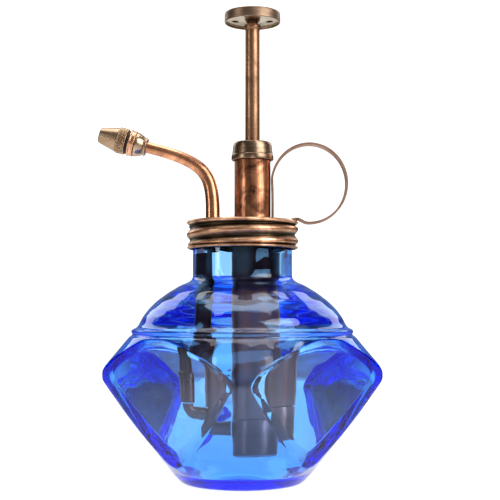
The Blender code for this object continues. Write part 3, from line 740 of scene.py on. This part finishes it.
def metal(name, colours, rough=0.30, mottle=150.0, streak=0.35, scale=(1, 1, 1), wear=0.0,
          levels=None, grooved=False):
    """Antique plated metal: a mottled patina, drawing lines, worn edges and a fine bump.

    Levels give it painted light and shade inside the bottle: other colours by height. A grooved metal is
    dark in the cap's grooves.
    """
    light, dark = colours
    made, tree, shader = new_material(name)
    links = tree.links
    place = add(tree, "ShaderNodeTexCoord").outputs["Object"]
    cloud = add(tree, "ShaderNodeTexNoise",
                {"Scale": mottle, "Detail": 6.0, "Roughness": 0.62, "Distortion": 0.8})
    links.new(place, cloud.inputs["Vector"])
    middle = tuple(0.5 * (a + b) for a, b in zip(light, dark))
    base = ramp(tree, cloud.outputs["Fac"], [(0.34, dark), (0.50, middle), (0.64, light)])
    stretch = add(tree, "ShaderNodeMapping")
    stretch.inputs["Scale"].default_value = scale
    links.new(place, stretch.inputs["Vector"])
    lines = add(tree, "ShaderNodeTexNoise", {"Scale": 1.0, "Detail": 4.0, "Roughness": 0.65})
    links.new(stretch.outputs["Vector"], lines.inputs["Vector"])
    lined = ramp(tree, lines.outputs["Fac"], [(0.35, grey(1.0 - streak)), (0.65, grey(1.0))])
    colour = mixed(tree, "MULTIPLY", 1.0, base, lined)
    if wear:
        edge = add(tree, "ShaderNodeNewGeometry").outputs["Pointiness"]
        worn = ramp(tree, edge, [(0.53, grey(0.0)), (0.60, grey(wear))])
        bright = tuple(min(1.0, c * 1.6) for c in light)
        colour = mixed(tree, "MIX", worn, colour, bright)
    # inside the bottle, painted shade and a painted reflection by height take over the colour
    if levels:
        colour = mixed(tree, "MIX", painted_lighting_share(tree, place), colour, painted_lighting_colour(tree, place, levels))
    if grooved:
        colour = mixed(tree, "MULTIPLY", 1.0, colour, groove_shade(tree, place))
    links.new(colour, shader.inputs["Base Color"])
    shader.inputs["Metallic"].default_value = 1.0
    gloss = ramp(tree, cloud.outputs["Fac"], [
        (0.35, grey(min(1.0, rough + TARNISH_ROUGHNESS))), (0.65, grey(rough)),
    ])
    links.new(gloss, shader.inputs["Roughness"])
    fine = add(tree, "ShaderNodeTexNoise", {"Scale": 1400.0, "Detail": 2.0})
    links.new(place, fine.inputs["Vector"])
    height = add(tree, "ShaderNodeMath", operation="ADD")
    links.new(lines.outputs["Fac"], height.inputs[0])
    links.new(fine.outputs["Fac"], height.inputs[1])
    bumpy(tree, shader, height.outputs[0], 0.14, 0.00004)
    return made


def groove_shade(tree, place):
    """Dark in the cap's grooves, olive on their sides and plain on the crests."""
    parts = split_place(tree, place)
    flat = add(tree, "ShaderNodeCombineXYZ")
    tree.links.new(parts.outputs["X"], flat.inputs["X"])
    tree.links.new(parts.outputs["Y"], flat.inputs["Y"])
    far = add(tree, "ShaderNodeVectorMath", operation="LENGTH")
    tree.links.new(flat.outputs[0], far.inputs[0])
    stops = [(GROOVE_RADIUS, GROOVE), (OLIVE_RADIUS, OLIVE), (CREST_RADIUS, grey(1.0))]
    return ramp_over(tree, far.outputs["Value"], 40.0, stops)


def painted_lighting_share(tree, place):
    """Where the painted light and shade lie: one inside the bottle, and nothing above the cap."""
    height = split_place(tree, place).outputs["Z"]
    return ramp_over(tree, height, 5.0, [(PAINTED_LIGHTING_BELOW, grey(1.0)), (PAINTED_LIGHTING_GONE_ABOVE, grey(0.0))])


def painted_lighting_colour(tree, place, levels):
    """Colours by height: painted shade, black in the neck and lighter further down, and a painted
    reflection as a light band on the barrel.
    """
    return ramp_over(tree, split_place(tree, place).outputs["Z"], 10.0, levels)


def split_place(tree, place):
    """A node that gives the X, Y and Z of a place."""
    made = add(tree, "ShaderNodeSeparateXYZ")
    tree.links.new(place, made.inputs[0])
    return made


def ramp_over(tree, source, factor, stops):
    """A colour ramp whose stops are in millimetres; the factor spreads a short range over it."""
    spread = add(tree, "ShaderNodeMath", {1: factor}, operation="MULTIPLY")
    tree.links.new(source, spread.inputs[0])
    return ramp(tree, spread.outputs[0], [(factor * at * MM, colour) for at, colour in stops])


def clear_material(name, ior):
    """Smooth, colourless and fully clear."""
    made, tree, shader = new_material(name)
    shader.inputs["Base Color"].default_value = (*WHITE, 1.0)
    shader.inputs["Transmission Weight"].default_value = 1.0
    shader.inputs["Roughness"].default_value = 0.0
    shader.inputs["IOR"].default_value = ior
    return made, tree, shader


def bumpy(tree, shader, source, strength, distance):
    """Gives a shader a bump from a height socket."""
    bump = add(tree, "ShaderNodeBump", {"Strength": strength, "Distance": distance})
    tree.links.new(source, bump.inputs["Height"])
    tree.links.new(bump.outputs["Normal"], shader.inputs["Normal"])


def glass(name):
    """Cobalt glass: clear at its skin, and coloured by its depth."""
    made, tree, shader = clear_material(name, GLASS_IOR)
    place = add(tree, "ShaderNodeTexCoord").outputs["Object"]
    ripple = add(tree, "ShaderNodeTexNoise", {"Scale": 90.0, "Detail": 1.0, "Roughness": 0.4})
    tree.links.new(place, ripple.inputs["Vector"])
    bumpy(tree, shader, ripple.outputs["Fac"], 0.12, 0.0006)
    depth = add(tree, "ShaderNodeVolumeAbsorption",
                {"Color": GLASS_COLOUR, "Density": GLASS_DENSITY})
    tree.links.new(depth.outputs["Volume"], tree.nodes["Material Output"].inputs["Volume"])
    return made


def water(name):
    """Clear and colourless."""
    return clear_material(name, WATER_IOR)[0]


def rubber(name):
    """Matt black with a fine grain."""
    made, tree, shader = new_material(name)
    place = add(tree, "ShaderNodeTexCoord").outputs["Object"]
    grain = add(tree, "ShaderNodeTexNoise", {"Scale": 1800.0, "Detail": 3.0})
    tree.links.new(place, grain.inputs["Vector"])
    colour = ramp(tree, grain.outputs["Fac"], [(0.3, RUBBER_DARK), (0.7, RUBBER_LIGHT)])
    tree.links.new(colour, shader.inputs["Base Color"])
    shader.inputs["Roughness"].default_value = 0.55
    bumpy(tree, shader, grain.outputs["Fac"], 0.3, 0.00003)
    return made


def leather(name):
    """Oiled brown hide with small cells."""
    made, tree, shader = new_material(name)
    place = add(tree, "ShaderNodeTexCoord").outputs["Object"]
    cells = add(tree, "ShaderNodeTexVoronoi", {"Scale": 1400.0})
    tree.links.new(place, cells.inputs["Vector"])
    colour = ramp(tree, cells.outputs["Distance"], [(0.0, LEATHER_DARK), (0.6, LEATHER_LIGHT)])
    tree.links.new(colour, shader.inputs["Base Color"])
    shader.inputs["Roughness"].default_value = 0.62
    bumpy(tree, shader, cells.outputs["Distance"], 0.4, 0.00008)
    return made


def paint(thing, material):
    """Gives a piece one material in place of those it has."""
    if not thing.material_slots:
        thing.data.materials.append(None)
    for slot in thing.material_slots:
        slot.link = "OBJECT"
        slot.material = material


def polish_underside(knob):
    """The knob's cone below the rim is polished and paler than the rest."""
    bright = metal("knob_polished", KNOB_POLISHED, rough=0.18, mottle=60.0, streak=0.1)
    knob.data.materials.append(bright)
    index = len(knob.data.materials) - 1
    for face in knob.data.polygons:
        if face.normal.z < -0.7:
            face.material_index = index


def smooth_node(name):
    """Rounds the shading of a carried-over CAD node, and keeps its real edges sharp."""
    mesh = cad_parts[name].data
    mesh.polygons.foreach_set("use_smooth", [True] * len(mesh.polygons))
    mesh.set_sharp_from_angle(angle=math.radians(32))


# ---------------------------------------------------------------- stage


def build_stage():
    """A pale floor, a white surround and five soft boxes."""
    scene = bpy.context.scene
    scene.view_settings.view_transform = "Standard"
    scene.view_settings.look = "Medium High Contrast"
    scene.cycles.max_bounces = 48
    scene.cycles.transmission_bounces = 48
    scene.cycles.glossy_bounces = 24
    bpy.ops.mesh.primitive_plane_add(size=FLOOR_SIZE, location=(0.0, 0.0, -FLOOR_DROP))
    floor = bpy.context.object
    floor.name = "floor"
    paint(floor, floor_material())
    build_world(scene)
    for name, place, width, height, power in SOFT_BOXES:
        soft_box(name, place, width, height, power)


def floor_material():
    """A pale floor that glows a little itself, and fades away further out."""
    made, tree, shader = new_material("pale_floor")
    shader.inputs["Base Color"].default_value = FLOOR_COLOUR
    shader.inputs["Roughness"].default_value = 0.30
    shader.inputs["Specular IOR Level"].default_value = 0.35
    shader.inputs["Emission Color"].default_value = FLOOR_GLOW
    shader.inputs["Emission Strength"].default_value = FLOOR_GLOW_STRENGTH
    place = add(tree, "ShaderNodeTexCoord").outputs["Object"]
    length = add(tree, "ShaderNodeVectorMath", operation="LENGTH")
    tree.links.new(place, length.inputs[0])
    far = ramp(tree, length.outputs["Value"], [
        (FLOOR_FULL_TO, grey(0.0)), (FLOOR_GONE_FROM, grey(1.0)),
    ])
    clear = add(tree, "ShaderNodeBsdfTransparent")
    mix = add(tree, "ShaderNodeMixShader")
    tree.links.new(far, mix.inputs[0])
    tree.links.new(shader.outputs[0], mix.inputs[1])
    tree.links.new(clear.outputs[0], mix.inputs[2])
    tree.links.new(mix.outputs[0], tree.nodes["Material Output"].inputs["Surface"])
    return made


def soft_box(name, place, width, height, power):
    """An area light that faces the object and that the camera doesn't see."""
    light = bpy.data.lights.new(name, "AREA")
    light.shape = "RECTANGLE"
    light.size, light.size_y = width, height
    light.energy = power
    made = bpy.data.objects.new(name, light)
    made.visible_camera = False
    made.location = place
    made.rotation_euler = (Vector(BOX_TARGET) - Vector(place)).to_track_quat("-Z", "Y").to_euler()
    bpy.context.scene.collection.objects.link(made)


def direction_shade(tree, axis, stops):
    """Colours by how far a direction leans along one axis, on both sides of it for X."""
    place = add(tree, "ShaderNodeTexCoord").outputs["Generated"]
    split = add(tree, "ShaderNodeSeparateXYZ")
    tree.links.new(place, split.inputs[0])
    value = split.outputs[axis]
    if axis == "X":
        size = add(tree, "ShaderNodeMath", operation="ABSOLUTE")
        tree.links.new(value, size.inputs[0])
        value = size.outputs[0]
    else:
        moved = add(tree, "ShaderNodeMath", {1: 0.5, 2: 0.5}, operation="MULTIPLY_ADD")
        tree.links.new(value, moved.inputs[0])
        value = moved.outputs[0]
    return ramp(tree, value, stops)


def walls_for_glass(tree):
    """Mauve to the sides, pale at their ends and dusky in front, with a floor below."""
    walls = add(tree, "ShaderNodeBackground", {"Strength": WALL_STRENGTH})
    wide = direction_shade(tree, "X", [
        (0.33, WHITE), (0.55, MAUVE), (0.94, MAUVE), (0.985, PALE),
    ])
    front = direction_shade(tree, "Y", [
        (0.0, PALE), (0.08, FRONT_DARK), (0.40, FRONT_DUSK), (0.53, WHITE),
    ])
    under = direction_shade(tree, "Z", [(0.36, grey(1.0)), (0.46, grey(0.0))])
    level = mixed(tree, "MULTIPLY", 1.0, wide, front)
    tree.links.new(mixed(tree, "MIX", under, level, UNDER_WALLS), walls.inputs["Color"])
    return walls


def room_for_metal(tree):
    """Bright in the middle, dim to the sides, and bright again below."""
    room = add(tree, "ShaderNodeBackground")
    side = direction_shade(tree, "X", [(0.20, grey(1.0)), (0.55, grey(0.30)), (0.8, grey(0.10))])
    deep = direction_shade(tree, "Y", [(0.0, grey(0.20)), (0.45, grey(0.25)), (0.8, grey(0.20))])
    low = direction_shade(tree, "Z", [(0.30, grey(1.0)), (0.46, grey(0.0))])
    dim = mixed(tree, "MULTIPLY", 1.0, side, deep)
    tree.links.new(mixed(tree, "MIX", low, dim, grey(0.9)), room.inputs["Color"])
    return room


def build_world(scene):
    """A white backdrop: glass shows coloured walls in its place, and metal a dim room."""
    world = bpy.data.worlds.new("studio")
    world.use_nodes = True
    scene.world = world
    tree = world.node_tree
    plain = tree.nodes["Background"]
    plain.inputs["Color"].default_value = (*WHITE, 1.0)
    plain.inputs["Strength"].default_value = BACKDROP_STRENGTH
    walls, room = walls_for_glass(tree), room_for_metal(tree)
    path = add(tree, "ShaderNodeLightPath")
    mirrored = add(tree, "ShaderNodeMixShader")
    tree.links.new(path.outputs["Is Glossy Ray"], mirrored.inputs[0])
    tree.links.new(plain.outputs[0], mirrored.inputs[1])
    tree.links.new(room.outputs[0], mirrored.inputs[2])
    # a ray that leaves the glass counts as glossy too, so this choice comes last
    through = add(tree, "ShaderNodeMixShader")
    tree.links.new(path.outputs["Is Transmission Ray"], through.inputs[0])
    tree.links.new(mirrored.outputs[0], through.inputs[1])
    tree.links.new(walls.outputs[0], through.inputs[2])
    tree.links.new(through.outputs[0], tree.nodes["World Output"].inputs["Surface"])


def build_camera():
    """The camera in front of the object, looking slightly up."""
    data = bpy.data.cameras.new("camera")
    data.lens = LENS
    data.sensor_width = SENSOR
    data.clip_start = 0.01
    made = bpy.data.objects.new("camera", data)
    made.location = [c * MM for c in EYE]
    made.rotation_euler = (math.radians(90 + PITCH), 0.0, 0.0)
    bpy.context.scene.collection.objects.link(made)
    bpy.context.scene.camera = made


# ---------------------------------------------------------------- assembly


def build_pieces():
    """Every piece that scene.py makes, by a short name."""
    made = {"bottle": build_bottle(), "cap": build_cap(), **build_pump()}
    for name, piece in build_nozzle().items():
        made["nozzle_" + name] = piece
    made["knob"] = build_knob()
    made["spout"] = build_spout()
    made["elbow"] = build_elbow()
    made["ring"] = build_ring()
    made["spring"] = build_spring()
    made["water"] = build_water()
    return made


def paint_pieces(made):
    """Each piece's own material."""
    inner = {"rough": 0.3, "levels": PIPE_PAINTED_SHADE_LEVELS}
    looks = {
        "bottle": glass("cobalt_glass"),
        "water": water("clear_water"),
        "cap": metal("cap_copper", CAP_COPPER, 0.34, 130.0, 0.30, scale=ROUND_Z, grooved=True),
        "barrel": metal("barrel_copper", BARREL_COPPER, 0.32, 170.0, 0.50, scale=ALONG_Z,
                        levels=BARREL_PAINTED_LIGHT_LEVELS),
        "foot": metal("foot_copper", COPPER, 0.3, levels=BARREL_PAINTED_LIGHT_LEVELS),
        "riser": metal("riser_copper", COPPER, **inner),
        "elbow": metal("elbow_copper", COPPER, **inner),
        "collar": metal("collar_bronze", BRONZE, 0.27, 110.0, 0.35, scale=ROUND_Z, wear=0.8),
        "rod": metal("rod_bronze", ROD_BRONZE, 0.36, 90.0, 0.25, scale=ALONG_Z),
        "knob": metal("knob_bronze", KNOB_BRONZE, 0.42, 90.0, 0.25, scale=ROUND_Z, wear=0.8),
        "spout": metal("spout_copper", SPOUT_COPPER, 0.26, 120.0, 0.2, scale=ALONG_SPOUT),
        "ring": metal("ring_copper", RING_COPPER, 0.32, 140.0, 0.2, scale=ALONG_STRIP),
        "spring": metal("spring_steel", SPRING_STEEL, 0.2, scale=ALONG_Z),
        "nozzle_body": metal("ferrule_bronze", FERRULE_BRONZE, 0.22, 60.0, 0.15, scale=ALONG_Z,
                             wear=0.4),
        "nozzle_flange": metal("flange_copper", FLANGE_COPPER, 0.24, 60.0, 0.15, wear=0.3),
        "nozzle_cap": metal("tip_bronze", TIP_BRONZE, 0.28, 60.0, 0.15),
        "nozzle_seal": rubber("o_ring_rubber"),
    }
    for name, look in looks.items():
        paint(made[name], look)
    polish_underside(made["knob"])


def paint_inner_nodes():
    """Smooths and paints the CAD's own inner parts, which are plain brass unless named here."""
    brass = metal("plain_brass", BRASS, 0.26, scale=ROUND_Z, levels=PIPE_PAINTED_SHADE_LEVELS)
    steel = metal("ball_steel", BALL_STEEL, 0.12)
    black = rubber("seal_rubber")
    by_node = {
        "intake_ball": steel, "outlet_ball": steel, "cap_gasket": black, "gland_seal": black,
        "piston_cup": leather("cup_leather"),
    }
    for name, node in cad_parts.items():
        if node.hide_render:
            continue
        smooth_node(name)
        paint(node, by_node.get(name, brass))


build_camera()
build_stage()
paint_pieces(build_pieces())
paint_inner_nodes()
